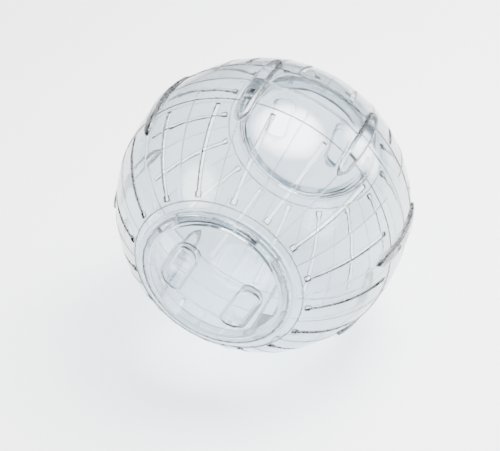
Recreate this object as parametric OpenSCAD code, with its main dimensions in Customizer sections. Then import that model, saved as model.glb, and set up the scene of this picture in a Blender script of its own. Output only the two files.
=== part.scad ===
// Clear exercise ball for a hamster, in millimetres. Two alike half shells snap together at
// the equator, and each has a domed door that locks with a short twist. The origin is the
// centre of the ball, -Y runs out through the front door, and +Z runs out through a lock.

/* [Ball] */
// Diameter over the plain wall
ball_d = 254; // [220:1:320]
// Thickness of the moulded wall
wall = 2.2; // [1.8:0.1:2.8]
// Gap between pieces that slide or turn on each other
play = 0.3; // [0.2:0.05:0.4]

/* [Vents] */
// Number of vent slots round each half, with a lock on every second line between them
vent_count = 16; // [12:4:20]
// Width of a vent slot at its seam end, from where its sides run towards the door's axis
vent_w = 3.8; // [2.5:0.1:5]
// Side of the square eye at the door end of a vent
vent_eye = 4; // [3:0.1:5]
// Distance along the wall from the collar line to the vents
vent_gap = 3.4; // [2:0.1:6]
// Distance along the wall from the vents to the rim line
vent_rim_gap = 5.3; // [3:0.1:10]

/* [Moulded lines] */
// Distance along the wall from the door opening to the collar line
collar_w = 12.8; // [8:0.1:18]
// Height of the rim line above the seam
rim_band = 26.8; // [15:0.1:32]
// How far the lines between the vents run on past the rim line
line_overrun = 8.2; // [0:0.1:10]
// Width of a moulded line, measured at the rim line
line_w = 1; // [0.6:0.1:1.6]
// How far the two ring lines stand out of the wall
ring_line_h = 0.6; // [0.5:0.1:0.9]
// How far the lines between the vents stand out of the wall
line_h = 0.4; // [0.2:0.1:0.4]

/* [Locks] */
// Distance from the seam to the tip of a lock's fairing
lock_len = 46.4; // [36:0.1:60]
// Width of a fairing at the seam
lock_w = 13.3; // [12:0.1:18]
// How far a fairing stands out of the wall
lock_h = 2.8; // [2.6:0.1:3.6]
// Skin of the fairing over the pocket
lock_skin = 1.3; // [1:0.1:1.4]
// Width of a snap tongue
tongue_w = 8; // [6:0.1:8.4]
// Thickness of a snap tongue
tongue_t = 1.5; // [1:0.1:1.6]
// Length of a snap tongue from the seam
tongue_len = 21; // [20:0.1:26]
// Side of the square catch window
window_w = 4.8; // [3.4:0.1:5.4]
// Distance from the seam to the middle of the catch window
window_at = 17; // [14:0.1:17.4]

/* [Door] */
// Diameter of the rebate in the half shell that takes the door's edge
opening_d = 127.8; // [110:0.1:135]
// Width of the ledge that the door's edge sits on
ledge_w = 5; // [4:0.1:6]
// Width of the raised bead round the rebate
bead_w = 1.8; // [1:0.1:2.6]
// Height of the raised bead
bead_h = 0.7; // [0.4:0.1:1]
// How far a lug reaches out of the door's skirt
lug_reach = 3.6; // [2.5:0.1:4]
// Length of a lug along the skirt
lug_len = 18.5; // [12:0.1:22]
// Number of lugs
lug_count = 4; // [2:1:4]
// How far the skirt runs down past the lugs
skirt_drop = 1.2; // [0.5:0.1:3]
// Angle of the finger wells from the lock above the door
door_turn = 29; // [0:1:90]
// Angle that the door turns from locked to free
door_twist = 19; // [18.5:0.1:22]

/* [Finger wells] */
// Length of a well
well_l = 44.4; // [36:0.1:52]
// Width of a well
well_w = 18.2; // [16:0.1:22]
// Radius of a well's corners
well_r = 7.5; // [5:0.5:8]
// Distance of a well's centre line from the door's centre
well_off = 30.2; // [22:0.1:32]
// Depth of a well below the dome at its middle
well_depth = 10; // [6:0.5:12]
// Wall of a well
well_wall = 1.6; // [1.2:0.1:2.4]

/* [Hidden] */
$fn = 180;

// Ball and the places along its wall, as angles from the door's axis
ball_r = ball_d / 2;
inner_r = ball_r - wall;
mid_r = ball_r - wall / 2;
far_r = ball_r * 1.5;
opening_r = opening_d / 2;
opening_a = asin(opening_r / ball_r);
collar_a = opening_a + along(collar_w);
vent_start_a = collar_a + along(vent_gap);
rim_a = acos(rim_band / ball_r);
vent_end_a = rim_a - along(vent_rim_gap);
line_end_a = rim_a + along(line_overrun);
vent_pitch = 360 / vent_count;
vent_a = round_angle(vent_w, ball_r * sin(vent_end_a));
eye_a = round_angle(vent_eye, ball_r * sin(vent_start_a));
line_a = round_angle(line_w, ball_r * sin(rim_a));
collar_x = ball_r * sin(collar_a);
lock_count = vent_count / 2;
lock_pitch = 360 / lock_count;

// Ledge under the door's edge, and the collar that carries it
ledge_top_r = inner_r - play;
ledge_low_r = ledge_top_r - wall;
hole_r = opening_r - ledge_w;
collar_out = opening_r + wall;

// Door
door_r = opening_r - play;
skirt_r = hole_r - play;
skirt_in = skirt_r - wall;
lug_r = skirt_r + lug_reach;
lug_top_r = ledge_low_r - play;
lug_low_r = lug_top_r - wall;
skirt_low = height_at(lug_low_r, lug_r) - skirt_drop;
well_floor = height_at(ball_r, well_off) - well_depth;
lug_pitch = 360 / lug_count;
lug_half = round_angle(lug_len / 2, skirt_r);
play_a = round_angle(play, skirt_r);
stop_a = round_angle(wall, skirt_r);
notch_half = lug_half + play_a;

// Lock: the pocket lies between the fairing's skin and the wall, and the tongue inside it
fairing_r = ball_r + lock_h;
pocket_top_r = fairing_r - lock_skin;
tongue_top_r = pocket_top_r - play;
tongue_low_r = tongue_top_r - tongue_t;
pocket_low_r = tongue_low_r - play;
pocket_len = tongue_len + play;
hollow_at = pocket_len + wall;
hollow_tip_half = wall / 2;
catch_w = window_w - 2 * play;
catch_out_share = 0.6;
catch_h = play + lock_skin * catch_out_share;

// Fairing outline, as shares of its length and width: long slightly bowed sides, then a
// pointed arch from the shoulder to the tip
shoulder_at_share = 0.74;
shoulder_w_share = 0.86;
outline_at_shares = [0, 0.25, 0.5, 0.74, 0.8, 0.86, 0.91, 0.95, 0.98];
shoulder_at = lock_len * shoulder_at_share;
shoulder_half = lock_w * shoulder_w_share / 2;
side_drop = lock_w / 2 - shoulder_half;
side_r = (shoulder_at ^ 2 + side_drop ^ 2) / (2 * side_drop);
tip_len = lock_len - shoulder_at;
tip_r = (tip_len ^ 2 + shoulder_half ^ 2) / (2 * shoulder_half);

// Angle at the ball's centre of a length along the wall
function along(len) = round_angle(len, ball_r);
// Angle in degrees of a length along a circle
function round_angle(len, r) = len / r * 180 / PI;
// Height of a sphere above the seam at a distance from the door's axis
function height_at(r, x) = sqrt(r ^ 2 - x ^ 2);
// Half width of a fairing at a distance from the seam
function fairing_half(at) =
    at <= shoulder_at
        ? sqrt(side_r ^ 2 - at ^ 2) - side_r + lock_w / 2
        : sqrt(tip_r ^ 2 - (at - shoulder_at) ^ 2) - tip_r + shoulder_half;

// The points of one side of an outline, turned over and put in the opposite order
function other_side(side) = [for (k = [len(side) - 1 : -1 : 0]) [-side[k].x, side[k].y]];

// Flat ring between two radii
module ring(low_r, top_r) {
    difference() {
        circle(top_r);
        circle(low_r);
    }
}

// Part of a ring's section between two distances from the door's axis, above the seam
module band(low_r, top_r, x0, x1) {
    intersection() {
        ring(low_r, top_r);
        translate([x0, 0])
            square([x1 - x0, far_r]);
    }
}

// Flat wedge between two angles from the door's axis
module wedge(a0, a1) {
    polygon([[0, 0], [far_r * sin(a0), far_r * cos(a0)], [far_r * sin(a1), far_r * cos(a1)]]);
}

// A flat shape in the plane of the door's axis, made into a slab that stands on a meridian
module on_meridian(a, width) {
    rotate([90, 0, 90 - a])
        translate([0, 0, -width / 2])
            linear_extrude(width)
                children();
}

// A shape drawn at the seam, pushed out through the wall at an angle round the door's axis
module through_wall(a) {
    rotate([90, 0, -a])
        translate([0, 0, -far_r])
            linear_extrude(far_r / 2)
                children();
}

// Whole layer of a hollow sphere, above and below the seam
module layer(low_r, top_r) {
    rotate_extrude()
        intersection() {
            ring(low_r, top_r);
            translate([0, -far_r])
                square([far_r, 2 * far_r]);
        }
}

// A section turned round the door's axis, only between two angles
module turned(a0, a1) {
    rotate([0, 0, 90 - a1])
        rotate_extrude(angle = a1 - a0)
            children();
}

// Upper half of a fairing's outline, from the seam to its tip
module fairing_outline() {
    side = [for (share = outline_at_shares) [fairing_half(share * lock_len), share * lock_len]];
    polygon(concat(side, [[0, lock_len]], other_side(side)));
}

// Half width of the hollow inside a fairing at a distance from the seam
function hollow_half(at) = fairing_half(at) - wall;

// Outline of the hollow, from past the end of the pocket to where it gets narrow
module hollow_outline() {
    ats = [for (share = outline_at_shares) share * lock_len];
    side = [for (at = ats) if (at > hollow_at && hollow_half(at) > hollow_tip_half) [hollow_half(at), at]];
    first = [[hollow_half(hollow_at), hollow_at]];
    polygon(concat(first, side, other_side(side), other_side(first)));
}

// Turned section of a half shell: wall, collar, ledge, bead and the two ring lines
module shell_section() {
    band(inner_r, ball_r, opening_r, far_r);
    band(ledge_low_r, ball_r, opening_r, collar_out);
    band(ledge_low_r, ledge_top_r, hole_r, collar_out);
    band(mid_r, ball_r + bead_h, opening_r, opening_r + bead_w);
    band(mid_r, ball_r + ring_line_h, collar_x - line_w / 2, collar_x + line_w / 2);
    intersection() {
        ring(mid_r, ball_r + ring_line_h);
        translate([0, rim_band - line_w / 2])
            square([far_r, line_w]);
    }
}

// Lines between the vents, from the collar line to just past the rim line
module meridian_lines() {
    for (k = [0 : vent_count - 1])
        turned(k * vent_pitch - line_a / 2, k * vent_pitch + line_a / 2)
            intersection() {
                ring(mid_r, ball_r + line_h);
                wedge(collar_a, line_end_a);
            }
}

// All fairings of one half, as solid pads
module fairings() {
    intersection() {
        layer(mid_r, fairing_r);
        for (k = [0 : lock_count - 1])
            through_wall(k * lock_pitch)
                fairing_outline();
    }
}

// Pockets for the other half's tongues, in every second fairing
module lock_pockets() {
    intersection() {
        layer(pocket_low_r, pocket_top_r);
        for (k = [0 : 2 : lock_count - 1])
            through_wall(k * lock_pitch)
                translate([-tongue_w / 2 - play, -wall])
                    square([tongue_w + 2 * play, pocket_len + wall]);
    }
}

// Hollows under the fairings, open to the inside of the ball
module fairing_hollows() {
    intersection() {
        layer(inner_r - wall, pocket_top_r);
        for (k = [0 : lock_count - 1])
            through_wall(k * lock_pitch)
                hollow_outline();
    }
}

// Square window over each pocket, where the catch shows
module catch_windows() {
    intersection() {
        layer(tongue_top_r, far_r);
        for (k = [0 : 2 : lock_count - 1])
            through_wall(k * lock_pitch)
                translate([-window_w / 2, window_at - window_w / 2])
                    square(window_w);
    }
}

// Vent slots, each with a square eye at its door end
module vents() {
    for (k = [0 : vent_count - 1]) {
        a = (k + 0.5) * vent_pitch;
        turned(a - vent_a / 2, a + vent_a / 2)
            vent_section(vent_end_a);
        turned(a - eye_a / 2, a + eye_a / 2)
            vent_section(vent_start_a + along(vent_eye));
    }
}

// Section of a vent's cut through the wall, from its eye to an angle from the door's axis
module vent_section(end_a) {
    intersection() {
        ring(inner_r - wall, ball_r + wall);
        wedge(vent_start_a, end_a);
    }
}

// Gaps in the ledge that let the door's lugs through
module lug_notches() {
    for (k = [0 : lug_count - 1]) {
        a = door_turn + k * lug_pitch + door_twist;
        turned(a - notch_half, a + notch_half)
            band(ledge_low_r - wall, ledge_top_r + play / 2, hole_r - wall, lug_r + play);
    }
}

// Stops under the ledge at both ends of a lug's travel
module lug_stops() {
    for (k = [0 : lug_count - 1], end = [-notch_half - stop_a, door_twist + notch_half]) {
        a = door_turn + k * lug_pitch + end;
        turned(a, a + stop_a)
            band(lug_low_r, ledge_top_r - wall / 2, hole_r + play, lug_r);
    }
}

// One moulded half, door end up, seam on the ground plane
module half_shell() {
    difference() {
        union() {
            rotate_extrude()
                shell_section();
            meridian_lines();
            fairings();
        }
        vents();
        fairing_hollows();
        lock_pockets();
        catch_windows();
        lug_notches();
    }
    lug_stops();
}

// Catch on a tongue: steep towards the seam, sloped towards the tip
module catch() {
    root = height_at((tongue_low_r + tongue_top_r) / 2, window_at);
    top = height_at(tongue_top_r, window_at) + catch_h;
    on_meridian(0, catch_w)
        polygon([
            [root, catch_w / 2 - window_at],
            [top, catch_w / 2 - window_at],
            [top, -window_at],
            [root, -catch_w / 2 - window_at]]);
}

// The tongues of one half, on the fairings that have no pocket
module snap_tongues() {
    intersection() {
        layer(tongue_low_r, tongue_top_r);
        for (k = [1 : 2 : lock_count - 1])
            through_wall(k * lock_pitch)
                translate([-tongue_w / 2, -tongue_len])
                    square([tongue_w, tongue_len]);
    }
    for (k = [1 : 2 : lock_count - 1])
        rotate([0, 0, -k * lock_pitch])
            catch();
}

// Rounded oblong of a finger well, with its long side on Y, grown by a wall
module well_outline(grow) {
    half_l = well_l / 2 + grow;
    half_w = well_w / 2 + grow;
    r = well_r + grow;
    translate([-half_w, r - half_l])
        square([2 * half_w, 2 * (half_l - r)]);
    translate([r - half_w, -half_l])
        square([2 * (half_w - r), 2 * half_l]);
    for (x = [r - half_w, half_w - r], y = [r - half_l, half_l - r])
        translate([x, y])
            circle(r);
}

// Both finger wells as upright blocks, from a height to the top
module well_blocks(grow, from) {
    for (x = [-well_off, well_off])
        translate([x, 0, from])
            linear_extrude(far_r - from)
                well_outline(grow);
}

// Domed door with its skirt, lugs and finger wells, locked
module door() {
    rotate([0, 0, -door_turn])
        difference() {
            union() {
                rotate_extrude() {
                    band(inner_r, ball_r, 0, door_r);
                    translate([skirt_in, skirt_low])
                        square([wall, height_at(mid_r, skirt_r) - skirt_low]);
                }
                for (k = [0 : lug_count - 1])
                    turned(k * lug_pitch - lug_half, k * lug_pitch + lug_half)
                        band(lug_low_r, lug_top_r, skirt_r - wall / 2, lug_r);
                intersection() {
                    rotate_extrude()
                        band(0, ball_r, 0, skirt_in);
                    well_blocks(well_wall, well_floor - well_wall);
                }
            }
            well_blocks(0, well_floor);
        }
}

// Stands a piece of the front half in place, door towards -Y
module to_front() {
    rotate([90, 0, 0])
        children();
}

// Turns a piece half way round the line between two locks, which makes the rear half
module to_rear() {
    rotate(a = 180, v = [sin(lock_pitch / 2), 0, cos(lock_pitch / 2)])
        to_front()
            children();
}

module shell_front() {
    color("lightcyan", 0.4)
        to_front()
            half_shell();
}

module shell_rear() {
    color("lightblue", 0.4)
        to_rear()
            half_shell();
}

module tongues_front() {
    color("powderblue", 0.6)
        to_front()
            snap_tongues();
}

module tongues_rear() {
    color("lightsteelblue", 0.6)
        to_rear()
            snap_tongues();
}

module door_front() {
    color("whitesmoke", 0.4)
        to_front()
            door();
}

module door_rear() {
    color("gainsboro", 0.4)
        to_rear()
            door();
}

shell_front();
shell_rear();
tongues_front();
tongues_rear();
door_front();
door_rear();
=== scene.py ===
# %% [markdown]
# # A clear exercise ball
# The ball is injection moulded from clear polystyrene. Clear plastic has almost no colour of its own, so
# the eye reads it by its edges: every rib, slot, step and rim bends the light, and draws a thin dark or
# bright line. Each line here comes from a wall of real thickness, modelled as a closed surface with
# rounded edges, and the dark lines are deepened by painted shade: darker tints on walls, edges and tight
# corners. The imported model gives the frame: where each piece is, and what moves.

# %% Load the frame
import math

import bpy
import numpy as np
from mathutils import Matrix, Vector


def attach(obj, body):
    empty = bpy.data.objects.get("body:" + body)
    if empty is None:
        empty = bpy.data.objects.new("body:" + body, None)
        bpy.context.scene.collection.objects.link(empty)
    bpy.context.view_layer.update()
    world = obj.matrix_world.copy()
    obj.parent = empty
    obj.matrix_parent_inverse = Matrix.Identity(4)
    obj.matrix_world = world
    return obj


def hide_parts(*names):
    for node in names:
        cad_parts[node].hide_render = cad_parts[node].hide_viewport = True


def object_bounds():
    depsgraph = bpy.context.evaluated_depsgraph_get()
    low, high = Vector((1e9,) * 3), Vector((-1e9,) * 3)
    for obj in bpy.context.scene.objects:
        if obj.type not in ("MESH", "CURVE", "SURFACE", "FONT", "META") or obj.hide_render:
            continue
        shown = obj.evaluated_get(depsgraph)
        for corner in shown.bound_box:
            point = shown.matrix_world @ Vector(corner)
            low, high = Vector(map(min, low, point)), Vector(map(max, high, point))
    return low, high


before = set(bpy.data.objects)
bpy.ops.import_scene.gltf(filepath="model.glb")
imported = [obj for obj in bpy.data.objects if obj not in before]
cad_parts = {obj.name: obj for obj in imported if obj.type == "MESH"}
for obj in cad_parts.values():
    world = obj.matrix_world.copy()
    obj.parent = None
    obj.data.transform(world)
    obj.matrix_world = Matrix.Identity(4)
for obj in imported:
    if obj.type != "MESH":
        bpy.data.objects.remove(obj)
cad_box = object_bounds()
MM = 0.001
print("packed nodes:", ", ".join(sorted(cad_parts)))

# %% [markdown]
# ## The sizes
# All sizes are in millimetres. A half of the ball is worked out lying on its seam with the door on top:
# `theta` is the angle from the door's axis, `psi` runs clockwise round it, as the door is seen from
# outside, and `psi` is zero at the lock above the door.

# %% Driving sizes
BALL_R = 127.0
WALL = 2.2
PLAY = 0.3
INNER_R = BALL_R - WALL
SEAM_GAP = 0.05  # air between the two halves, on each side of the seam

VENTS = 16
PITCH = 360.0 / VENTS
LOCK_PITCH = 2 * PITCH
VENT_W = 3.8
VENT_EYE = 4.0
VENT_GAP = 3.4  # from the collar line to the vents
VENT_RIM_GAP = 5.3  # from the vents to the rim line
COLLAR_W = 12.8  # from the opening to the collar line
RIM_BAND = 26.8  # height of the rim line above the seam
LINE_W = 1.0
LINE_H = 0.4
LINE_OVERRUN = 8.2  # of the moulded lines, past the rim line
RING_LINE_HALF = 0.65
RING_LINE_H = 0.6

OPENING_R = 63.9
LEDGE_W = 5.0
HOLE_R = OPENING_R - LEDGE_W
COLLAR_OUT = OPENING_R + WALL
LEDGE_TOP_R = INNER_R - PLAY
LEDGE_LOW_R = LEDGE_TOP_R - WALL
BEAD_W = 1.8
BEAD_H = 0.7

# Places along the wall, measured from the door's axis
OPENING_AT = BALL_R * math.asin(OPENING_R / BALL_R)
COLLAR_AT = OPENING_AT + COLLAR_W
VENT_START = COLLAR_AT + VENT_GAP
RIM_AT = BALL_R * math.acos(RIM_BAND / BALL_R)
VENT_END = RIM_AT - VENT_RIM_GAP
LINE_END = RIM_AT + LINE_OVERRUN
SEAM_AT = BALL_R * math.pi / 2 - SEAM_GAP


def degrees_along(length, radius):
    """The angle, in degrees, of a length along a circle."""
    return math.degrees(length / radius)


VENT_HALF = degrees_along(VENT_W / 2, BALL_R * math.sin(VENT_END / BALL_R))
EYE_HALF = degrees_along(VENT_EYE / 2, BALL_R * math.sin(VENT_START / BALL_R))
LINE_HALF = degrees_along(LINE_W / 2, BALL_R * math.sin(RIM_AT / BALL_R))
print(f"vents: half {VENT_HALF:.2f} degrees wide, from {VENT_START:.1f} to {VENT_END:.1f} mm along the wall")

# %% [markdown]
# ## A lock's sizes
# Four locks of each half are pockets with a window, and four carry a snap tongue that reaches into a
# pocket of the other half. A raised fairing covers each: its sides bow a little, and end in a pointed arch.

# %% Lock sizes and the fairing's outline
LOCK_LEN = 46.4
LOCK_W = 13.3
LOCK_H = 2.8
LOCK_SKIN = 1.3
TONGUE_W = 8.0
TONGUE_T = 1.5
TONGUE_LEN = 21.0
WINDOW_W = 4.8
WINDOW_AT = 17.0
SHOULDER_AT = 0.74 * LOCK_LEN
SHOULDER_HALF = 0.86 * LOCK_W / 2

FAIRING_R = BALL_R + LOCK_H
POCKET_TOP_R = FAIRING_R - LOCK_SKIN
TONGUE_TOP_R = POCKET_TOP_R - PLAY
TONGUE_LOW_R = TONGUE_TOP_R - TONGUE_T
POCKET_LOW_R = TONGUE_LOW_R - PLAY
POCKET_HALF = TONGUE_W / 2 + PLAY
POCKET_LEN = TONGUE_LEN + PLAY
HOLLOW_FROM = POCKET_LEN + WALL
HOLLOW_TO = 0.91 * LOCK_LEN
CATCH_HALF = WINDOW_W / 2 - PLAY
CATCH_H = PLAY + 0.6 * LOCK_SKIN


def fairing_half(at):
    """Half the width of a fairing at a height above the seam.

    Up to the shoulder it is an arc that starts square to the seam, and from there an arc that starts
    parallel to the fairing and ends in its tip. Past the tip it is zero.
    """
    drop = LOCK_W / 2 - SHOULDER_HALF
    side_r = (SHOULDER_AT**2 + drop**2) / (2 * drop)
    tip = LOCK_LEN - SHOULDER_AT
    tip_r = (tip**2 + SHOULDER_HALF**2) / (2 * SHOULDER_HALF)
    low = np.clip(at, 0, SHOULDER_AT)
    high = np.clip(at - SHOULDER_AT, 0, tip)
    side = np.sqrt(side_r**2 - low**2) - side_r + LOCK_W / 2
    arch = np.sqrt(tip_r**2 - high**2) - tip_r + SHOULDER_HALF
    return np.where(at <= SHOULDER_AT, side, arch)


def hollow_half(at):
    """Half the width of the room inside a fairing: the tongue's pocket, then a hollow a wall narrower."""
    return np.where(at < (POCKET_LEN + HOLLOW_FROM) / 2, POCKET_HALF, fairing_half(at) - WALL)


measured = np.array([0.0, WINDOW_AT, SHOULDER_AT, HOLLOW_TO, LOCK_LEN])
print("fairing half widths:", np.round(fairing_half(measured), 2), "at heights", np.round(measured, 1))

# %% [markdown]
# ## One way to make every wall
# A moulding with pockets, slots and undercuts is awkward as a single surface. Cutting it out with
# booleans would leave slivers, and clear plastic shows every one. Here a moulding is a stack of curved
# bricks instead: surfaces lie over each other on one grid of rows and columns, and a brick between four
# neighbours is either filled or empty. A face is made wherever filled meets empty, which closes every
# wall, and it needs only array arithmetic.

# %% Stack of curved bricks
def stack(places, filled, before=None, after=None, closed=True):
    """The outer faces of a stack of bricks, as an array of quads.

    places[s, r, c] is a corner on surface s, row r and column c, and filled[s, r, c] is the brick from
    that corner to the next one each way. Columns close into a ring where closed is true. before and
    after say, for each layer and column, whether a filled brick of another stack carries on past the
    first or the last row, and then no face is made there.
    """
    if closed:
        places = np.concatenate([places, places[:, :, :1]], axis=2)
    full = np.pad(filled, 1)
    if closed:
        full[:, :, 0], full[:, :, -1] = full[:, :, -2], full[:, :, 1]
    if before is not None:
        full[1:-1, 0, 1:-1] = before
    if after is not None:
        full[1:-1, -1, 1:-1] = after
    inner = slice(1, -1)
    quads = []

    def keep(here, there, corners):
        """Faces between bricks here and there, turned so that they point to the empty side."""
        quads.append(corners[here & ~there])
        quads.append(corners[~here & there][:, ::-1])

    on_surface = np.stack(
        [places[:, :-1, :-1], places[:, :-1, 1:], places[:, 1:, 1:], places[:, 1:, :-1]], axis=3)
    keep(full[:-1, inner, inner], full[1:, inner, inner], on_surface)
    on_row = np.stack(
        [places[1:, :, :-1], places[1:, :, 1:], places[:-1, :, 1:], places[:-1, :, :-1]], axis=3)
    keep(full[inner, :-1, inner], full[inner, 1:, inner], on_row)
    on_column = np.stack(
        [places[:-1, :-1], places[:-1, 1:], places[1:, 1:], places[1:, :-1]], axis=3)
    across = full[inner, inner, :-1], full[inner, inner, 1:]
    if closed:
        across = across[0][:, :, :-1], across[1][:, :, :-1]
        on_column = on_column[:, :, :-1]
    keep(*across, on_column)
    return np.concatenate(quads)


# %% [markdown]
# ## Smooth skin from few faces
# A clear, polished surface shows every flat facet in its reflections, because what is mirrored depends on
# the surface's direction alone. More faces would only make the facets smaller. Here each corner of a
# face gets the direction that the real skin has there: on the ball's own curve that is straight away
# from the centre, and on other faces it is the face's own, with wide faces leading narrow ones.

# %% Directions of the skin
WELD = 1e-4  # corners closer than this are one vertex
SHARP = math.cos(math.radians(50))
ON_SPHERE = math.cos(math.radians(2.5))


def skin_normals(places, index, sides):
    """The normal of each face corner: a mean over the faces round its vertex, weighted by their areas.

    Only faces that turn less than the sharp angle from the corner's own face count. A face that lies on a
    sphere round the origin counts with the vertex's direction from the origin, and any other with its own.
    """
    face = np.repeat(np.arange(len(sides)), sides)
    starts = np.concatenate([[0], np.cumsum(sides)[:-1]])
    at = places[index]
    following = np.arange(len(index)) + 1
    following[starts + sides - 1] = starts
    area = np.add.reduceat(np.cross(at, at[following]), starts) / 2
    size = np.linalg.norm(area, axis=1)
    flat = area / np.maximum(size, 1e-12)[:, None]
    middle = np.add.reduceat(at, starts)
    outward = (flat * middle).sum(axis=1) / np.linalg.norm(middle, axis=1)
    radial = at / np.linalg.norm(at, axis=1)[:, None]
    own = np.where((np.abs(outward) > ON_SPHERE)[face, None], radial * np.sign(outward)[face, None], flat[face])

    order = np.argsort(index, kind="stable")
    counts = np.bincount(index)
    firsts = np.concatenate([[0], np.cumsum(counts)[:-1]])
    total = np.zeros_like(own)
    for step in range(counts.max()):
        there = step < counts[index]
        other = order[np.where(there, firsts[index] + step, 0)]
        near = there & ((own[other] * own).sum(axis=1) > SHARP)
        total += np.where(near, size[face[other]], 0)[:, None] * own[other]
    return total / np.linalg.norm(total, axis=1)[:, None]


# %% [markdown]
# ## Four finishes on one moulding
# A mould is polished where the plastic has to be clear, and left duller on the walls of ribs and slots,
# where a polishing stick doesn't reach, and edges that stand proud get scuffed in use: these faces are
# rougher. Their darker tints are painted shade, which draws the dark lines that such walls and edges give
# by bending the light, and the tight corners of the catch windows and the slots' eyes are painted near
# black as shade, for the light trapped there. Such faces turn steeply away from the ball's own curve, or
# lie at a known place, so each piece picks a finish face by face. Painting a mask by hand could look the
# same, but a rule follows the shape when a size changes.

# %% Steep faces
STEEP = math.cos(math.radians(30))
# The finishes after polished carry darker tints that are painted shade, the last one near black
POLISHED, DULL_AND_SHADED, SCUFFED_AND_SHADED, PAINTED_SHADE_BLACK = range(4)


def steep_faces(corners, sides):
    """The middle of each face, and whether it turns more than 30 degrees from the ball's own curve."""
    starts = np.concatenate([[0], np.cumsum(sides)[:-1]])
    following = np.arange(len(corners)) + 1
    following[starts + sides - 1] = starts
    area = np.add.reduceat(np.cross(corners, corners[following]), starts)
    middle = np.add.reduceat(corners, starts) / sides[:, None]
    outward = np.abs((area * middle).sum(axis=1))
    return middle, outward < STEEP * np.linalg.norm(area, axis=1) * np.linalg.norm(middle, axis=1)


# %% [markdown]
# ## From quads to a piece
# Both halves come from one mould, so both are one set of quads, placed twice. The bricks make loose
# quads, and corners at the same place are welded into one vertex, which leaves a closed skin.

# %% Places of the two halves
def to_front(p):
    """Stands points of a half in place with the door towards -Y: a quarter turn round X."""
    return np.stack([p[..., 0], -p[..., 2], p[..., 1]], axis=-1)


def to_rear(p):
    """The front half turned half way round the line between two locks, which brings pockets to tongues."""
    line = np.array([math.sin(math.radians(LOCK_PITCH / 2)), 0, math.cos(math.radians(LOCK_PITCH / 2))])
    front = to_front(p)
    return 2 * (front @ line)[..., None] * line - front


# %% Mesh from quads
def make_piece(name, quads, place, finish_of, caps=()):
    """One object from quads and a few flat caps, placed by a function, with shared corners welded.

    finish_of takes the faces' middles and whether each is steep, and gives the number of each face's finish.
    """
    corners = np.concatenate([quads.reshape(-1, 3), *caps])
    _, first, index = np.unique(
        np.round(corners / WELD).astype(np.int64), axis=0, return_index=True, return_inverse=True)
    sides = np.array([4] * len(quads) + [len(c) for c in caps])
    starts = np.concatenate([[0], np.cumsum(sides)[:-1]])
    mesh = bpy.data.meshes.new(name)
    mesh.vertices.add(len(first))
    places = place(corners[first])
    index = index.reshape(-1)
    mesh.vertices.foreach_set("co", (places * MM).ravel())
    mesh.loops.add(len(corners))
    mesh.loops.foreach_set("vertex_index", index)
    mesh.polygons.add(len(sides))
    mesh.polygons.foreach_set("loop_start", starts)
    mesh.polygons.foreach_set("use_smooth", np.ones(len(sides), bool))
    mesh.polygons.foreach_set("material_index", finish_of(*steep_faces(corners, sides)))
    mesh.update(calc_edges=True)
    changed = mesh.validate()
    mesh.normals_split_custom_set(skin_normals(places, index, sides))
    piece = bpy.data.objects.new(name, mesh)
    bpy.context.scene.collection.objects.link(piece)
    triangles = int((sides - 2).sum())
    print(f"{name}: {len(first)} corners, {triangles} triangles, needed mending: {changed}")
    return piece


# %% [markdown]
# ## Rows and columns of a half shell
# The grid follows the moulding, so that edges are clean with few faces. Rows lie where something starts
# or ends: the ledge, the bead, the two ring lines, the vents' ends, the windows. Columns run along the
# vents' sides and along each moulded line, and where a line runs into a fairing they spread out with it.

# %% Rows near the door
LUG_REACH = 3.6
LUG_R = HOLE_R - PLAY + LUG_REACH
BEAD_OUT = np.array([0, 0.25, 0.9, 1.5, BEAD_W])  # distances across the bead, and its heights there
BEAD_RISE = np.array([0.45, 0.65, BEAD_H, 0.45, 0])
SWELL_OUT = OPENING_R + 5.1  # where the thick seat has thinned to the plain wall
SWELL_RINGS = [63.2, 67.0, 68.0]  # more rings, so that the swell looks round

# These rows are rings round the door's axis, so the ledge and the rebate have upright walls
door_rings = np.sort(np.concatenate([
    [HOLE_R, HOLE_R + PLAY, LUG_R, LUG_R + PLAY], OPENING_R + BEAD_OUT, [COLLAR_OUT, SWELL_OUT], SWELL_RINGS]))
print("rings near the door:", np.round(door_rings, 2))

# %% Rows along the wall
LINE_ROWS = np.array([-RING_LINE_HALF, -0.5, -0.25, 0.25, 0.5, RING_LINE_HALF])
EDGE_OUT = np.array([0.06, 0.2, 0.45])  # distances from a slot's side at which its edge is rounded
EDGE_DROP = 0.4
EDGE_SHARE = np.array([1, 0.52, 0.2, 0])  # of that drop, at the slot's side and at those distances
FRAME_W = 0.5  # the raised frame round an eye
FRAME_H = 0.35
FRAME_FOOT = 0.1
FOOT = 0.12  # of a line or a fairing
TIP_ROWS = np.array([0.5, FOOT, 0.0, -0.25, -0.7, -1.4, -2.4])  # above and below a fairing's tip
ARCH_HEIGHTS = [40.5, 38.5, 36.4]  # more rows, so that the fairing's arch and sides look round
LOW_HEIGHTS = [11.0, 7.0, 3.0]
SEAM_EDGE = 0.35
PLAIN_ROWS = 11  # between the eyes and the tips, where only slots and thin lines run
FROM_EYE, FROM_TIP = 4.5, 2.5  # the plain rows' distances from them


def along(height):
    """How far along the wall from the door's axis a height above the seam lies."""
    return BALL_R * np.arccos(height / BALL_R)


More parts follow.
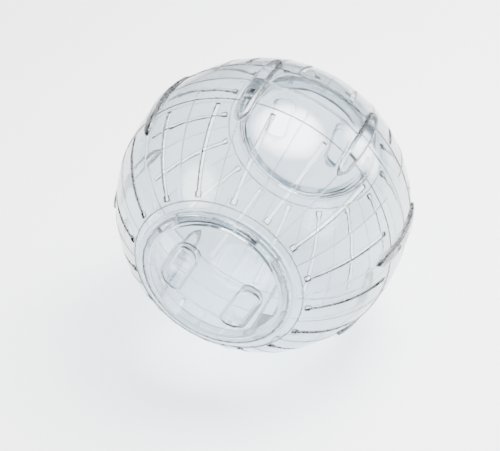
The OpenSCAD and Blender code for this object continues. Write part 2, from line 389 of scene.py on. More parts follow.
eye_ends = np.array([VENT_START, VENT_START + VENT_EYE])
frame_rows = np.array([FRAME_W, FRAME_W + FRAME_FOOT])
heights = [
    HOLLOW_TO, *ARCH_HEIGHTS, SHOULDER_AT, HOLLOW_FROM, POCKET_LEN, WINDOW_AT + WINDOW_W / 2,
    WINDOW_AT - WINDOW_W / 2, *LOW_HEIGHTS]
stops = np.sort(np.concatenate([
    COLLAR_AT + LINE_ROWS, RIM_AT + LINE_ROWS, eye_ends, eye_ends[0] - EDGE_OUT, eye_ends[0] - frame_rows,
    eye_ends[1] + EDGE_OUT, eye_ends[1] + frame_rows,
    np.linspace(eye_ends[1] + FROM_EYE, along(LOCK_LEN + FROM_TIP), PLAIN_ROWS), along(LOCK_LEN + TIP_ROWS),
    along(np.array(heights)), [VENT_END], VENT_END + EDGE_OUT, [LINE_END, SEAM_AT - SEAM_EDGE, SEAM_AT]]))
row_at = np.concatenate([BALL_R * np.arcsin(door_rings / BALL_R), stops])
row_height = BALL_R * np.cos(row_at / BALL_R)
row_ring = BALL_R * np.sin(row_at / BALL_R)
print(f"{len(row_at)} rows, closest {np.diff(row_at).min():.2f} mm apart")

# %% Columns
ROUND_IN = [0.6, 0.2]  # distances in from a strip's side at which its edge is rounded
FLAT_FROM = 0.5  # distance out from it at which the foot has run out


def across_fairing(mm):
    """The angle round the door's axis, in degrees, of a distance across a fairing, for every row."""
    return np.degrees(np.arcsin(mm / row_ring))


def half_cell(with_lock):
    """The columns from a moulded line's middle to the next vent's near side, for every row.

    The strip's side is the line's own side or the fairing's, whichever is wider. The columns inside it
    are the window's, the pocket's or hollow's, and two that round its edge. Outside it two round its foot,
    and the last ones stand where the eye's frame and the rounded edges of eye and slot begin. Shares keep
    the columns apart where a strip narrows.
    """
    side = np.full(len(row_at), LINE_HALF)
    room = np.full(len(row_at), 0.5 * LINE_HALF)
    if with_lock:
        side = np.maximum(side, across_fairing(fairing_half(row_height)))
        room = np.where(row_height < HOLLOW_TO + WELD, across_fairing(hollow_half(row_height)), 0.38 * side)
        room = np.minimum(room, 0.8 * side)
    window = np.minimum(across_fairing(WINDOW_W / 2), 0.5 * room)
    gap = side - room
    in_strip = [window, (window + room) / 2, room, side - np.minimum(across_fairing(ROUND_IN[0]), 0.5 * gap)]
    if not with_lock:
        in_strip = [0.55 * side]
    in_strip.append(side - np.minimum(across_fairing(ROUND_IN[1]), 0.2 * gap))
    eye = np.full(len(row_at), PITCH / 2 - EYE_HALF)
    vent = np.full(len(row_at), PITCH / 2 - VENT_HALF)
    edges = [across_fairing(out) for out in EDGE_OUT]
    start, end = side + across_fairing(FLAT_FROM), eye - across_fairing(FRAME_W + FRAME_FOOT)
    return np.stack([
        *in_strip, side, side + across_fairing(FOOT), start, start + (end - start) / 3,
        start + (end - start) * 2 / 3, end, eye - across_fairing(FRAME_W), eye - edges[2], eye - edges[1],
        eye, vent - edges[2], vent - edges[1], vent - edges[0], vent], axis=1)


def whole_cell(k):
    """One pitch of columns, the near half mirrored, turned to its place round the door's axis."""
    half = half_cell(with_lock=k % 2 == 0)
    return k * PITCH + np.concatenate([-half[:, ::-1], np.zeros((len(row_at), 1)), half], axis=1)


# %% Columns for the door's seat
LUGS = 4
LUG_LEN = 18.5
DOOR_TURN = 29.0  # angles round the door's axis, in degrees
DOOR_TWIST = 19.0
LUG_HALF = degrees_along(LUG_LEN / 2, HOLE_R - PLAY)
NOTCH_HALF = LUG_HALF + degrees_along(PLAY, HOLE_R - PLAY)
STOP_LEN = degrees_along(WALL, HOLE_R - PLAY)
SNAP = 0.4  # an end this close to another column shares it
lug_at = DOOR_TURN + 360 / LUGS * np.arange(LUGS)
notch_edges = [DOOR_TWIST - NOTCH_HALF, DOOR_TWIST + NOTCH_HALF]
stop_edges = [-NOTCH_HALF - STOP_LEN, -NOTCH_HALF, DOOR_TWIST + NOTCH_HALF + STOP_LEN]
lug_columns = np.sort((lug_at[:, None] + np.array(notch_edges + stop_edges)).ravel() % 360)

cells = np.concatenate([whole_cell(k) for k in range(VENTS)], axis=1)
near = np.abs((cells[0][:, None] - lug_columns + 180) % 360 - 180).min(axis=0)
lug_columns = lug_columns[near > SNAP]
col_psi = np.concatenate([cells, np.tile(lug_columns, (len(row_at), 1))], axis=1)
col_psi = col_psi[:, np.argsort(col_psi[0])]
print(f"{col_psi.shape[1]} columns, closest {np.diff(col_psi).min():.3f} degrees apart")

# %% [markdown]
# ## Surfaces of a half shell
# From the inside out, seven surfaces lie over the grid: under the stops, under the ledge, on top of the
# ledge, the inside of the wall, the floor and the roof of the tongues' pockets, and the outside. Only the
# outside is shaped: each line, bead, fairing and eye frame is a height above the ball. Edges are rounded
# over a few tenths of a millimetre, as a mould's are, and the fairings' shoulders over nearly two. Those
# small slopes catch the light.

# %% Heights of the outside
# Distances in from a line's or a fairing's side, and the share of the full height that it has there
LINE_IN, LINE_SHARE = [-FLAT_FROM, -FOOT, 0.0, ROUND_IN[1], ROUND_IN[0]], [0, 0.1, 0.83, 0.96, 1]
FAIRING_IN, FAIRING_SHARE = [-FLAT_FROM, -FOOT, 0.0, 0.4, 1.0, 1.8], [0, 0.08, 0.45, 0.7, 0.9, 1]
TIP_DROP = 0.45  # how much lower a fairing's tip is than its crest
SEAM_DROP = 0.25  # of the rounded edge at the seam


def from_line(psi, pitch):
    """Angle to the nearest multiple of a pitch."""
    return (psi + pitch / 2) % pitch - pitch / 2


def line_profile(distance, half, height):
    """A moulded line's height: half an ellipse over its width."""
    return height * np.sqrt(np.clip(1 - (distance / half) ** 2, 0, 1))


def strip_height():
    """Height of the lines and fairings: a full height times its share at the distance in from the side."""
    lock = np.abs(from_line(col_psi, LOCK_PITCH)) < PITCH / 2
    at = row_height[:, None]
    on_fairing = lock & (at < LOCK_LEN + WELD)
    line_on = (row_at[:, None] > COLLAR_AT) & (row_at[:, None] < LINE_END + WELD)
    crest = np.where(on_fairing, LOCK_H, np.where(line_on, LINE_H, 0.0))
    crest = crest - np.where(on_fairing & (at > LOCK_LEN - WELD), TIP_DROP, 0.0)
    off = np.abs(from_line(col_psi, PITCH)) * np.pi / 180 * row_ring[:, None]
    side = np.where(lock, np.maximum(fairing_half(at), LINE_W / 2), LINE_W / 2)
    line_side = LINE_HALF * np.pi / 180 * row_ring[:, None]
    side = np.where(on_fairing, np.maximum(side, line_side), line_side)
    inwards = side - off
    return crest * np.where(
        on_fairing, np.interp(inwards, FAIRING_IN, FAIRING_SHARE), np.interp(inwards, LINE_IN, LINE_SHARE))


def ring_height():
    """Height of the bead round the rebate, and of the collar line and the rim line."""
    bead = np.where(row_ring > OPENING_R - WELD, np.interp(row_ring - OPENING_R, BEAD_OUT, BEAD_RISE), 0)
    collar = line_profile(row_at - COLLAR_AT, RING_LINE_HALF, RING_LINE_H)
    rim = line_profile(row_at - RIM_AT, RING_LINE_HALF, RING_LINE_H)
    return np.maximum(bead, np.maximum(collar, rim))[:, None]


def vent_rounding():
    """How far the skin drops beside a vent, and how far it rises in the low frame round its eye.

    The skin falls away in a quarter round as the slot comes near. The distance is the shorter one of
    those to the slot's oblong and to the eye's. The frame is as high all over, with a narrow foot.
    """
    to_vent = np.abs(from_line(col_psi - PITCH / 2, PITCH))
    at, ring = row_at[:, None], row_ring[:, None]

    def distance(half, first, last):
        aside = np.maximum(to_vent - half, 0) * np.pi / 180 * ring
        return np.hypot(aside, np.maximum(np.maximum(first - at, at - last), 0))

    eye = distance(EYE_HALF, VENT_START, VENT_START + VENT_EYE)
    near = np.minimum(distance(VENT_HALF, VENT_START, VENT_END), eye)
    rise = np.interp(eye, FRAME_W + FRAME_FOOT * np.array([0.1, 0.5]), [FRAME_H, 0])
    return np.interp(near, [0, *EDGE_OUT], EDGE_DROP * EDGE_SHARE), rise


slot_edge, eye_frame = vent_rounding()
outside = BALL_R + np.maximum(strip_height(), ring_height()) - slot_edge + eye_frame
outside = outside - np.where(row_at[:, None] > SEAM_AT - WELD, SEAM_DROP, 0.0)
print(f"outside: {outside.min():.2f} to {outside.max():.2f} mm from the ball's middle")

# %% Corners of the bricks
LUG_LOW_R = LEDGE_LOW_R - PLAY - WALL
ROOF_DEPTH, FLOOR_DEPTH = 0.3, 0.5  # least depths of a pocket's roof and floor below the outside
INSIDE_SHARE = 0.7  # the wall's inner edge at a slot is rounded this much of the outer one
SWELL_STEP = 0.03  # the swell under the ledge ends this far inside the wall, so no brick is left flat

roof = np.minimum(POCKET_TOP_R, outside - ROOF_DEPTH)
flats = [LUG_LOW_R, LEDGE_LOW_R, LEDGE_TOP_R, INNER_R, POCKET_LOW_R]
radii = np.stack([np.full_like(outside, r) for r in flats] + [roof, outside])
radii[3] += INSIDE_SHARE * slot_edge
radii[4] = np.minimum(radii[4], outside - FLOOR_DEPTH)
rising = np.interp(row_ring, [LUG_R + PLAY, SWELL_OUT], [0, 1])
swell = LEDGE_LOW_R + (INNER_R - SWELL_STEP - LEDGE_LOW_R) * rising**2 * (3 - 2 * rising)
radii[1] = swell[:, None]
radii[2] = np.where(row_ring > OPENING_R + WELD, (swell + INNER_R) / 2, LEDGE_TOP_R)[:, None]
print("middle radius of each surface:", np.round(radii.mean(axis=(1, 2)), 1))


def shell_places():
    """Corner places from radius, theta and psi. Rows near the door keep their distance from its axis."""
    ring = np.minimum(row_ring, SWELL_OUT)[:, None]
    upright = np.arcsin(ring / np.minimum(radii, BALL_R))
    theta = np.where(row_ring[:, None] < SWELL_OUT + WELD, upright, row_at[:, None] / BALL_R)
    psi = np.radians(col_psi)[None]
    return np.stack([
        radii * np.sin(theta) * np.sin(psi), radii * np.sin(theta) * np.cos(psi), radii * np.cos(theta)], axis=-1)


# %% Which bricks are filled
def shell_filled():
    """Whole walls first, then everything that is cut away from them, judged at each brick's middle."""
    def middle(values):
        return (values[:-1] + values[1:]) / 2

    at, ring, height = middle(row_at)[:, None], middle(row_ring)[:, None], middle(row_height)[:, None]
    round_columns = np.concatenate([col_psi, col_psi[:, :1] + 360], axis=1)
    psi = middle((round_columns[:, :-1] + round_columns[:, 1:]) / 2)
    filled = np.zeros((6, *psi.shape), bool)
    ledge = ring < OPENING_R
    collar = (ring > OPENING_R) & (ring < SWELL_OUT)
    filled[1] = ledge | collar
    filled[2] = collar
    filled[3:] = ring > OPENING_R

    from_lug = from_line(psi - DOOR_TURN - DOOR_TWIST / 2, 360 / LUGS) + DOOR_TWIST / 2
    notch = (np.abs(from_lug - DOOR_TWIST) < NOTCH_HALF) & (ring < LUG_R + PLAY)
    filled[1] &= ~notch
    stop = (from_lug > -NOTCH_HALF - STOP_LEN) & (from_lug < -NOTCH_HALF)
    stop |= (from_lug > DOOR_TWIST + NOTCH_HALF) & (from_lug < DOOR_TWIST + NOTCH_HALF + STOP_LEN)
    filled[0] = stop & (ring > HOLE_R + PLAY) & (ring < LUG_R)

    to_vent = np.abs(from_line(psi - PITCH / 2, PITCH))
    vent = (at > VENT_START) & (at < VENT_END) & (to_vent < VENT_HALF)
    eye = (at > VENT_START) & (at < VENT_START + VENT_EYE) & (to_vent < EYE_HALF)
    filled &= ~(vent | eye)

    across = np.abs(from_line(psi, LOCK_PITCH)) * np.pi / 180 * ring
    room = across < hollow_half(height)
    pocket = room & (height < POCKET_LEN) & (np.abs(from_line(psi, 2 * LOCK_PITCH)) < PITCH / 2)
    hollow = room & (height > HOLLOW_FROM) & (height < HOLLOW_TO)
    filled[4] &= ~(pocket | hollow)
    filled[3] &= ~hollow
    window = pocket & (across < WINDOW_W / 2) & (np.abs(height - WINDOW_AT) < WINDOW_W / 2)
    filled[5] &= ~window
    return filled


# %% Finish of a half shell
CLOSE = 0.1  # a face whose middle is this close to a place still counts as there
FAR = 9.0  # stands for no edge near
RAISED = 0.02  # anything higher than this above the ball is raised
ON_FAIRING = 0.3  # and anything higher than this can be part of a fairing
SHOULDER_FROM, SHOULDER_TO = -0.2, 2.0  # distances in from a fairing's side


def shell_finish(middle, steep):
    """Near black, as painted shade, in the catch windows and round the slots' eyes, where light is trapped.

    Scuffed close along the slots, on the two ring lines, the fairings' shoulders and the opening's edge.
    Dull on the other steep walls, on the thin lines and a little further from the slots. Else polished.
    The darker tints of the scuffed and dull faces are painted shade for the dark lines of edges and walls.
    """
    radius = np.linalg.norm(middle, axis=1)
    at = BALL_R * np.arccos(middle[:, 2] / radius)
    psi = np.degrees(np.arctan2(middle[:, 0], middle[:, 1]))
    ring = np.hypot(middle[:, 0], middle[:, 1])

    def round_ring(angle):
        return np.abs(angle) * np.pi / 180 * ring

    to_vent = round_ring(from_line(psi - PITCH / 2, PITCH))
    eye_out = VENT_EYE / 2 + FRAME_W + FRAME_FOOT
    eye = (np.abs(at - VENT_START - VENT_EYE / 2) < eye_out) & (to_vent < eye_out)
    beside = np.where((at > VENT_START) & (at < VENT_END + EDGE_OUT[-1]), to_vent - round_ring(VENT_HALF), FAR)
    window = (round_ring(from_line(psi, 2 * LOCK_PITCH)) < WINDOW_W / 2 + CLOSE) & (radius > POCKET_TOP_R - CLOSE)
    window &= np.abs(middle[:, 2] - WINDOW_AT) < WINDOW_W / 2 + CLOSE
    raised = (radius > BALL_R + RAISED) & (radius < BALL_R + RING_LINE_H)
    ring_line = raised & (np.minimum(np.abs(at - COLLAR_AT), np.abs(at - RIM_AT)) < RING_LINE_HALF)
    line = raised & (at > COLLAR_AT) & (round_ring(from_line(psi, PITCH)) < LINE_W / 2 + CLOSE)
    on_fairing = (middle[:, 2] < LOCK_LEN) & (radius > BALL_R + ON_FAIRING)
    inwards = np.where(on_fairing, fairing_half(middle[:, 2]) - round_ring(from_line(psi, LOCK_PITCH)), FAR)
    shoulder = (inwards > SHOULDER_FROM) & (inwards < SHOULDER_TO)
    opening = steep & (np.abs(ring - OPENING_R) < PLAY)
    opening |= (radius > BALL_R) & (np.abs(ring - OPENING_R - BEAD_W / 4) < BEAD_W / 4)
    # Edges and steep walls get darker tints, painted shade; windows and eyes get a near black one
    scuffed_and_shaded = (beside < EDGE_OUT[1]) | shoulder | ring_line | opening
    dull_and_shaded = steep | (beside < EDGE_OUT[2]) | line
    return np.where((window & steep) | eye, PAINTED_SHADE_BLACK, np.where(scuffed_and_shaded, SCUFFED_AND_SHADED, np.where(dull_and_shaded, DULL_AND_SHADED, POLISHED)))


shell_quads = stack(shell_places(), shell_filled())
front_shell = make_piece("front_half_shell", shell_quads, to_front, shell_finish)
rear_shell = make_piece("rear_half_shell", shell_quads, to_rear, shell_finish)

# %% [markdown]
# ## Snap tongues
# A tongue is a flat strip that lies in the other half's pocket with a little air all round. Its catch
# stands up in the window, steep on the side of the seam and sloped towards the tip, so that the halves
# click together and can still be pried apart.

# %% Snap tongues
TONGUE_EDGE = 0.25  # width of the rounded sides, and how far they fall
TONGUE_DROP = 0.2
TONGUE_ROWS = [0.0, 4.0, 8.0, 12.0]  # from the seam to the catch
TONGUE_TIP = np.array([1.1, 0.3, 0.0])  # rows before its tip
CATCH_TOE = 0.02  # height at which the catch's slope ends


def tongue_quads(psi):
    """One tongue: x across it, z down from the seam, and y from the sphere that each surface lies on."""
    half = TONGUE_W / 2
    x = np.array([-half, TONGUE_EDGE - half, -CATCH_HALF, CATCH_HALF, half - TONGUE_EDGE, half])
    catch = WINDOW_AT + CATCH_HALF * np.array([-1, 0, 1])
    z = -np.concatenate([TONGUE_ROWS, catch, TONGUE_LEN - TONGUE_TIP])
    x, z = x[None, None, :], z[None, :, None]
    edge = np.where((np.abs(x) > half - WELD) | (z < WELD - TONGUE_LEN), TONGUE_DROP, 0.0)
    rise = np.interp(-z, [WINDOW_AT, WINDOW_AT + CATCH_HALF], [CATCH_H, CATCH_TOE])
    radius = np.concatenate([TONGUE_LOW_R + edge, TONGUE_TOP_R - edge, TONGUE_TOP_R - edge + rise])
    x, z = np.broadcast_to(x, radius.shape), np.broadcast_to(z, radius.shape)
    y = np.sqrt(radius**2 - x**2 - z**2)
    turn = math.radians(psi)
    places = np.stack([x * math.cos(turn) + y * math.sin(turn), y * math.cos(turn) - x * math.sin(turn), z], axis=-1)
    filled = np.zeros((2, places.shape[1] - 1, places.shape[2] - 1), bool)
    filled[0] = True
    filled[1, len(TONGUE_ROWS):len(TONGUE_ROWS) + 2, 2] = True
    return stack(places, filled, closed=False)


def tongue_finish(middle, steep):
    """Dull all over, and near black on the catch and under it, which the window frames.

    Both darker tints are painted shade, the near black one for the light trapped in the window.
    """
    radius = np.linalg.norm(middle, axis=1)
    under = (np.abs(-middle[:, 2] - WINDOW_AT) < CATCH_HALF) & (radius < TONGUE_LOW_R + WELD)
    # The catch and its underside get a near black tint: painted shade
    return np.where((radius > TONGUE_TOP_R + WELD) | under, PAINTED_SHADE_BLACK, DULL_AND_SHADED)


all_tongues = np.concatenate([tongue_quads(k * LOCK_PITCH) for k in range(1, VENTS // 2, 2)])
front_tongues = make_piece("front_snap_tongues", all_tongues, to_front, tongue_finish)
rear_tongues = make_piece("rear_snap_tongues", all_tongues, to_rear, tongue_finish)

# %% [markdown]
# ## The door
# The door carries on the ball's curve. Two finger wells sink into it, and underneath a round skirt with
# four lugs turns below the ledge. Rings round the door's axis would cut across the wells, so each half
# of the door gets rings of its own: the innermost follows a well's outline, and the outermost the
# skirt and the line between the wells.

# %% Door sizes
DOOR_R = OPENING_R - PLAY
SKIRT_R = HOLE_R - PLAY
SKIRT_IN = SKIRT_R - WALL
LUG_TOP_R = LEDGE_LOW_R - PLAY
SKIRT_DROP = 1.2  # of the skirt's end, below the lugs
SKIRT_LOW = math.sqrt(LUG_LOW_R**2 - LUG_R**2) - SKIRT_DROP
WELL_L = 44.4
WELL_W = 18.2
WELL_R = 7.5  # of its corners
WELL_OFF = 30.2  # from the door's axis to a well's middle
WELL_DEPTH = 10.0
WELL_WALL = 1.6
WELL_FLOOR = math.sqrt(BALL_R**2 - WELL_OFF**2) - WELL_DEPTH
print(f"door: rim at {DOOR_R:.1f} mm, skirt from {SKIRT_IN:.1f} to {SKIRT_R:.1f} mm and down to {SKIRT_LOW:.1f} mm")


def dome(radius, x, y):
    """Height of a sphere over a point of the door's plane."""
    return np.sqrt(radius**2 - x**2 - y**2)


def well_ray(direction):
    """How far from a well's middle its outline lies: an oblong with rounded corners, met by a ray.

    The ray meets the long side, the short side or else the corner's circle.
    """
    c, s = np.abs(np.cos(direction)), np.abs(np.sin(direction))
    long_side = WELL_W / 2 / np.maximum(c, 1e-9)
    short_side = WELL_L / 2 / np.maximum(s, 1e-9)
    cx, cy = WELL_W / 2 - WELL_R, WELL_L / 2 - WELL_R
    b = c * cx + s * cy
    corner = b + np.sqrt(np.maximum(b**2 - cx**2 - cy**2 + WELL_R**2, 0))
    return np.where(long_side * s <= cy, long_side, np.where(short_side * c <= cx, short_side, corner))


# %% Columns of half a door, and rows across a well's wall
LUG_STEPS = 3  # over half a lug
SIDE_STEPS = 24  # from a lug to the next
half_turn = np.concatenate([
    np.linspace(0, LUG_HALF, LUG_STEPS, endpoint=False),
    np.linspace(LUG_HALF, 90 - LUG_HALF, SIDE_STEPS, endpoint=False),
    np.linspace(90 - LUG_HALF, 90 + LUG_HALF, 2 * LUG_STEPS, endpoint=False),
    np.linspace(90 + LUG_HALF, 180 - LUG_HALF, SIDE_STEPS, endpoint=False),
    np.linspace(180 - LUG_HALF, 180, LUG_STEPS + 1)])
BACK_STEPS = 25  # along the line between the wells
# Offsets out from the well's outline, heights above its floor, and depths below the dome
TOP_OFFSETS = np.array([-2.8, -2.1, -1.3, -0.6, -0.25, -0.05, 0.0, 0.12, 0.4, 0.9])
LOW_OFFSETS = np.array([-2.8, -2.1, -0.8, 0.3, 1.1, 1.5, 1.6, 1.7, 2.0, 2.5])
ABOVE_FLOOR = np.array([0, 0, 0.08, 0.4, 1.0])
ABOVE_LOW_FLOOR = np.array([0, 0, 0, 0.15, 0.7])
BELOW_DOME = np.array([1.6, 0.9, 0.45, 0.12, 0])
DOME_STEPS = 6
print(f"half a door: {len(half_turn)} columns, wells {WELL_L} x {WELL_W} mm")


# %% Middle of the door, one half of it
def door_middle():
    """Corner places of the half door with x above zero, from the well's floor out to the skirt.

    The boundary runs clockwise round the skirt's inside and back along the line between the wells. Each
    of its points is joined to the point of the well's outline that lies on the same ray.
    """
    turn = np.radians(half_turn)
    back = np.linspace(-SKIRT_IN, SKIRT_IN, BACK_STEPS + 1)[1:-1]
    bx = np.concatenate([SKIRT_IN * np.sin(turn), np.zeros(len(back))])
    by = np.concatenate([SKIRT_IN * np.cos(turn), back])
    ray = np.arctan2(by, bx - WELL_OFF)
    reach = well_ray(ray)
    wx, wy = reach * np.cos(ray), reach * np.sin(ray)
    cx = np.clip(wx, WELL_R - WELL_W / 2, WELL_W / 2 - WELL_R)
    cy = np.clip(wy, WELL_R - WELL_L / 2, WELL_L / 2 - WELL_R)
    nx, ny = wx - cx, wy - cy
    length = np.hypot(nx, ny)
    nx, ny = nx / length, ny / length

    def surface(offsets, floor, above, radius):
        x = WELL_OFF + wx + offsets[:, None] * nx
        y = wy + offsets[:, None] * ny
        low = len(above)
        z = np.concatenate([
            np.broadcast_to(floor + above[:, None], x[:low].shape),
            dome(radius, x[low:], y[low:]) - BELOW_DOME[:, None]])
        share = (np.arange(1, DOME_STEPS + 1) / DOME_STEPS)[:, None]
        dx, dy = x[-1] + share * (bx - x[-1]), y[-1] + share * (by - y[-1])
        return np.stack([
            np.concatenate([x, dx]), np.concatenate([y, dy]), np.concatenate([z, dome(radius, dx, dy)])], axis=-1)

    low = surface(LOW_OFFSETS, WELL_FLOOR - WELL_WALL, ABOVE_LOW_FLOOR, INNER_R)
    top = surface(TOP_OFFSETS, WELL_FLOOR, ABOVE_FLOOR, BALL_R)
    return np.stack([low, top])


def half_round(p):
    """Half a turn round the door's axis, which brings one half of the door to the other."""
    return p * np.array([-1.0, -1.0, 1.0])


middle_places = door_middle()
rows, columns = middle_places.shape[1] - 1, middle_places.shape[2]
beyond = np.ones((1, columns), bool)
middle_quads = stack(middle_places, np.ones((1, rows, columns), bool), before=beyond, after=beyond)
floor_caps = [middle_places[0, 0], middle_places[1, 0][::-1]]
print(f"door middle: {rows} rows of {columns} columns, well floor at {WELL_FLOOR:.1f} mm")

# %% Rim, skirt and lugs of the door
RIM_IN = np.array([0.5, 0.15, 0.0])  # distances in from the rim, and how far its rounded edge falls there
RIM_DROP = [0, 0.1, 0.4]


def door_rim():
    """Corner places and filled bricks of the door outside the skirt's inner side."""
    ring = np.concatenate([[SKIRT_IN, SKIRT_R, LUG_R], DOOR_R - RIM_IN])
    drop = np.array([0, 0, 0, *RIM_DROP])
    turn = np.concatenate([half_turn[:-1], half_turn[:-1] + 180])
    surfaces = np.stack([
        np.full_like(ring, SKIRT_LOW), dome(LUG_LOW_R, ring, 0), dome(LUG_TOP_R, ring, 0),
        dome(INNER_R, ring, 0), dome(BALL_R, ring, 0) - drop])
    shape = (*surfaces.shape, len(turn))
    x = np.broadcast_to(ring[None, :, None] * np.sin(np.radians(turn)), shape)
    y = np.broadcast_to(ring[None, :, None] * np.cos(np.radians(turn)), shape)
    places = np.stack([x, y, np.broadcast_to(surfaces[:, :, None], shape)], axis=-1)
    filled = np.zeros((4, len(ring) - 1, len(turn)), bool)
    filled[:, 0] = True
    filled[3] = True
    mid = turn + np.diff(np.append(turn, 360)) / 2
    filled[1, 1] = np.abs(from_line(mid, 360 / LUGS)) < LUG_HALF
    inside = np.zeros((4, len(turn)), bool)
    inside[3] = True
    return places, filled, inside


# %% Both doors
rim_places, rim_filled, rim_inside = door_rim()
door_quads = np.concatenate([middle_quads, half_round(middle_quads), stack(rim_places, rim_filled, before=rim_inside)])
door_caps = floor_caps + [half_round(c) for c in floor_caps]


def turned(p):
    """The door turned clockwise to its locked place."""
    c, s = math.cos(math.radians(DOOR_TURN)), math.sin(math.radians(DOOR_TURN))
    return np.stack([p[..., 0] * c + p[..., 1] * s, p[..., 1] * c - p[..., 0] * s, p[..., 2]], axis=-1)


def door_finish(middle, steep):
    """Scuffed on the rim's walls, which rub in the seat, and their darker tint is painted shade. Dome, wells and skirt
    are polished.
    """
    on_rim = np.hypot(middle[:, 0], middle[:, 1]) > DOOR_R - RIM_IN[0] - CLOSE
    # The rim's walls get the scuffed finish's darker tint: painted shade
    return np.where(steep & on_rim, SCUFFED_AND_SHADED, POLISHED)


front_door = make_piece("front_twist_door", door_quads, lambda p: to_front(turned(p)), door_finish, door_caps)
rear_door = make_piece("rear_twist_door", door_quads, lambda p: to_rear(turned(p)), door_finish, door_caps)

# %% [markdown]
# ## Clear polystyrene
# General purpose polystyrene is the cheap, glass clear plastic of these balls. It bends light a little
# more than window glass, with an index of 1.59, so its edges look darker. The mould was polished, so
# the skin is glossy, with the slow waviness that moulded walls have and faint rub marks from handling.
# The four finishes are one material function with its own tint and roughness for each. The deeper tints of
# the three rougher finishes are painted shade: they darken the plastic where walls and edges draw dark
# lines by bending the light, and where light is trapped in tight corners.

# %% Node helper and colours
def linear(code):
    """An sRGB hex colour as the linear colour that a shader takes."""
    srgb = np.array([int(code[k:k + 2], 16) for k in (1, 3, 5)]) / 255
    values = np.where(srgb <= 0.04045, srgb / 12.92, ((srgb + 0.055) / 1.055) ** 2.4)
    return (*values, 1.0)


def add_node(tree, kind, settings=None, links=None):
    """Adds a node, sets its properties or unlinked inputs, and links inputs from other nodes' outputs."""
    node = tree.nodes.new(kind)
    for key, value in (settings or {}).items():
        if hasattr(node, key):
            setattr(node, key, value)
        else:
            node.inputs[key].default_value = value
    for key, source in (links or {}).items():
        tree.links.new(source, node.inputs[key])
    return node


def new_material(name):
    """An empty node material and its output node."""
    material = bpy.data.materials.new(name)
    material.use_nodes = True
    material.node_tree.nodes.clear()
    return material, add_node(material.node_tree, "ShaderNodeOutputMaterial")


# %% Clear polystyrene
IOR = 1.59
WAVE_MM = 14.0  # from one slow wave of the skin to the next
WAVE_DEPTH = 0.1
RUB_MM = 5.0  # across a rubbed patch


def clear_polystyrene(name, tint, smoothest, roughest):
    """Clear plastic with a wavy skin and patches of very light rubbing. Lamps shine through it."""
    material, output = new_material(name)
    tree = material.node_tree
    place = add_node(tree, "ShaderNodeTexCoord").outputs["Object"]
    rub = add_node(
        tree, "ShaderNodeTexNoise", {"Scale": 1 / (RUB_MM * MM), "Detail": 4.0, "Roughness": 0.6}, {"Vector": place})
    roughness = add_node(
        tree, "ShaderNodeMapRange", {"From Min": 0.35, "From Max": 0.75, "To Min": smoothest, "To Max": roughest},
        {"Value": rub.outputs["Fac"]})
    wave = add_node(tree, "ShaderNodeTexNoise", {"Scale": 1 / (WAVE_MM * MM), "Detail": 1.0}, {"Vector": place})
    bump = add_node(
        tree, "ShaderNodeBump", {"Strength": 0.6, "Distance": WAVE_DEPTH * MM}, {"Height": wave.outputs["Fac"]})
    plastic = add_node(
        tree, "ShaderNodeBsdfPrincipled",
        {"Base Color": linear(tint), "IOR": IOR, "Transmission Weight": 1.0},
        {"Roughness": roughness.outputs["Result"], "Normal": bump.outputs["Normal"]})
    each_surface = (*np.sqrt(linear(tint)[:3]), 1.0)  # the plastic node also takes the tint's root at each surface
    passing = add_node(tree, "ShaderNodeBsdfTransparent", {"Color": each_surface})
    lamps = add_node(tree, "ShaderNodeLightPath").outputs["Is Shadow Ray"]
    mix = add_node(
        tree, "ShaderNodeMixShader", links={0: lamps, 1: plastic.outputs["BSDF"], 2: passing.outputs["BSDF"]})
    tree.links.new(mix.outputs["Shader"], output.inputs["Surface"])
    return material


# The order is that of the finish numbers: polished, dull, scuffed and near black.
# The darker tints of the last three are painted shade.
finishes = [
    clear_polystyrene("clear_polystyrene", "#DBE2E7", 0.01, 0.05),  # mirrors sharply, and has a faint cool grey
    clear_polystyrene("dull_shaded_polystyrene", "#B4B9BB", 0.12, 0.25),  # draws thin grey lines along ribs and walls
    clear_polystyrene("scuffed_shaded_polystyrene", "#6A6F71", 0.2, 0.4),  # draws darker, broader lines with a soft shine
    clear_polystyrene("painted_shade_polystyrene", "#1C1F21", 0.1, 0.2)]  # painted shade: a near black tint where light is trapped in tight corners
print("finishes:", ", ".join(finish.name for finish in finishes))
for piece in (front_shell, rear_shell, front_tongues, rear_tongues, front_door, rear_door):
    for finish in finishes:
        piece.data.materials.append(finish)

# %% Ride and replace
RIDES = [
    (front_shell, "front_half", "shell_front"), (rear_shell, "rear_half", "shell_rear"),
    (front_tongues, "front_half", "tongues_front"), (rear_tongues, "rear_half", "tongues_rear"),
    (front_door, "front_door", "door_front"), (rear_door, "rear_door", "door_rear")]
for piece, body, node in RIDES:
    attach(piece, body)
    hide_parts(node)
    print(f"{piece.name} rides {body} and replaces {node}")

# %% [markdown]
# ## Studio
# Clear plastic shows what is round it. A white floor and a pale room keep the skin light and even, so that
# the dark lines are those of the ball's own walls. The lights are large softboxes whose rims fade out:
# they leave soft patches on the ball, where a plain square lamp would leave hard windows.

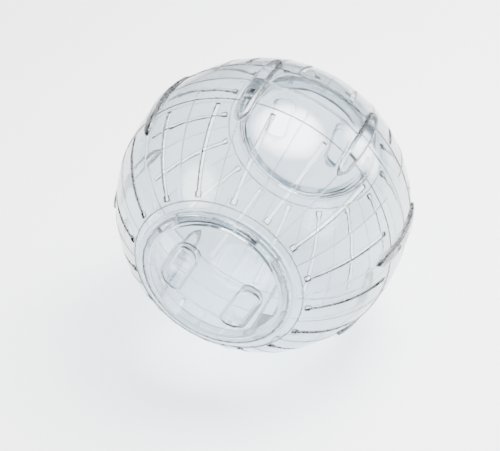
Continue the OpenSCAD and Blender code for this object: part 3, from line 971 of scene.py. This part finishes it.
# %% Floor, lights and room
FLOOR_Z = cad_box[0][2]
FLOOR_HALF = 3.0  # in metres, like everything in this cell
floor_mesh = bpy.data.meshes.new("floor")
floor_mesh.from_pydata(
    [(-FLOOR_HALF, -FLOOR_HALF, FLOOR_Z), (FLOOR_HALF, -FLOOR_HALF, FLOOR_Z), (FLOOR_HALF, FLOOR_HALF, FLOOR_Z),
     (-FLOOR_HALF, FLOOR_HALF, FLOOR_Z)], [], [(0, 1, 2, 3)])
floor = bpy.data.objects.new("studio_floor", floor_mesh)
bpy.context.scene.collection.objects.link(floor)
paper, paper_out = new_material("studio_paper")
paper_node = add_node(paper.node_tree, "ShaderNodeBsdfPrincipled", {"Base Color": linear("#EEEEEE"), "Roughness": 0.8})
paper.node_tree.links.new(paper_node.outputs["BSDF"], paper_out.inputs["Surface"])
floor_mesh.materials.append(paper)
print(f"floor at {FLOOR_Z:.4f} m, under the ball's lowest point")


FADE_GAIN = 2.0  # makes up for the light that the faded rims don't give


def soft_light(name, direction, distance, side, watts):
    """A softbox that faces the ball from a direction: its cloth is brightest in the middle and fades out."""
    lamp = bpy.data.lights.new(name, "AREA")
    lamp.shape = "SQUARE"
    lamp.use_nodes = True
    tree = lamp.node_tree
    cloth = add_node(tree, "ShaderNodeNewGeometry").outputs["Parametric"]
    centred = add_node(tree, "ShaderNodeVectorMath", {"operation": "MULTIPLY_ADD"}, {0: cloth})
    centred.inputs[1].default_value = (2, 2, 0)
    centred.inputs[2].default_value = (-1, -1, 0)
    glow = add_node(tree, "ShaderNodeTexGradient", {"gradient_type": "SPHERICAL"}, {"Vector": centred.outputs[0]})
    fade = add_node(
        tree, "ShaderNodeMapRange", {"interpolation_type": "SMOOTHSTEP", "From Max": 0.6, "To Max": FADE_GAIN},
        {"Value": glow.outputs["Fac"]})
    tree.links.new(fade.outputs["Result"], tree.nodes["Emission"].inputs["Strength"])
    lamp.size = side
    lamp.energy = watts
    holder = bpy.data.objects.new(name, lamp)
    way = np.array(direction) / np.linalg.norm(direction)
    up = np.array([0.0, 0.0, 1.0])
    right = np.cross(up, way)
    right /= np.linalg.norm(right)
    turn = Matrix([[*row] for row in np.column_stack([right, np.cross(way, right), way])]).to_4x4()
    holder.matrix_world = Matrix.Translation(way * distance) @ turn
    holder.visible_camera = False
    bpy.context.scene.collection.objects.link(holder)
    print(f"{name}: {side} m square, {watts} W, {distance} m away")


soft_light("overhead_softbox", (0.25, 0.21, 0.94), 1.5, 1.45, 180)
soft_light("back_softbox", (0.70, 0.66, 0.32), 1.7, 1.0, 36)
soft_light("front_softbox", (-0.9, -1.0, 0.9), 2.0, 1.4, 36)

world = bpy.data.worlds.new("room")
bpy.context.scene.world = world
world.use_nodes = True
room_light = world.node_tree.nodes["Background"]
room_light.inputs["Color"].default_value = linear("#E2E5E8")
room_light.inputs["Strength"].default_value = 0.8

# %% [markdown]
# ## Camera
# The ball's outline, its door and the spread of its vents in the photograph give the camera: how far
# round, how high, and a small tilt. A long lens from a metre and a half matches its flat perspective.

# %% Camera
IMAGE_W, IMAGE_H = 500, 451
BALL_PX = (263.5, 205.0)
AZIMUTH, ELEVATION, ROLL = math.radians(22.3), math.radians(36.9), math.radians(-1.6)
DISTANCE = 12 * BALL_R * MM
FOCAL_PX = 1765.0
SENSOR = 36.0

camera_data = bpy.data.cameras.new("camera")
camera_data.sensor_width = SENSOR
camera_data.lens = FOCAL_PX / IMAGE_W * SENSOR
camera_data.shift_x = (IMAGE_W / 2 - BALL_PX[0]) / IMAGE_W
camera_data.shift_y = (BALL_PX[1] - IMAGE_H / 2) / IMAGE_W
camera = bpy.data.objects.new("camera", camera_data)
camera.matrix_world = (
    Matrix.Rotation(AZIMUTH, 4, "Z") @ Matrix.Rotation(math.pi / 2 - ELEVATION, 4, "X")
    @ Matrix.Rotation(ROLL, 4, "Z") @ Matrix.Translation((0, 0, DISTANCE)))
bpy.context.scene.collection.objects.link(camera)
bpy.context.scene.camera = camera
print(f"camera: {DISTANCE:.3f} m away, lens {camera_data.lens:.1f} mm")
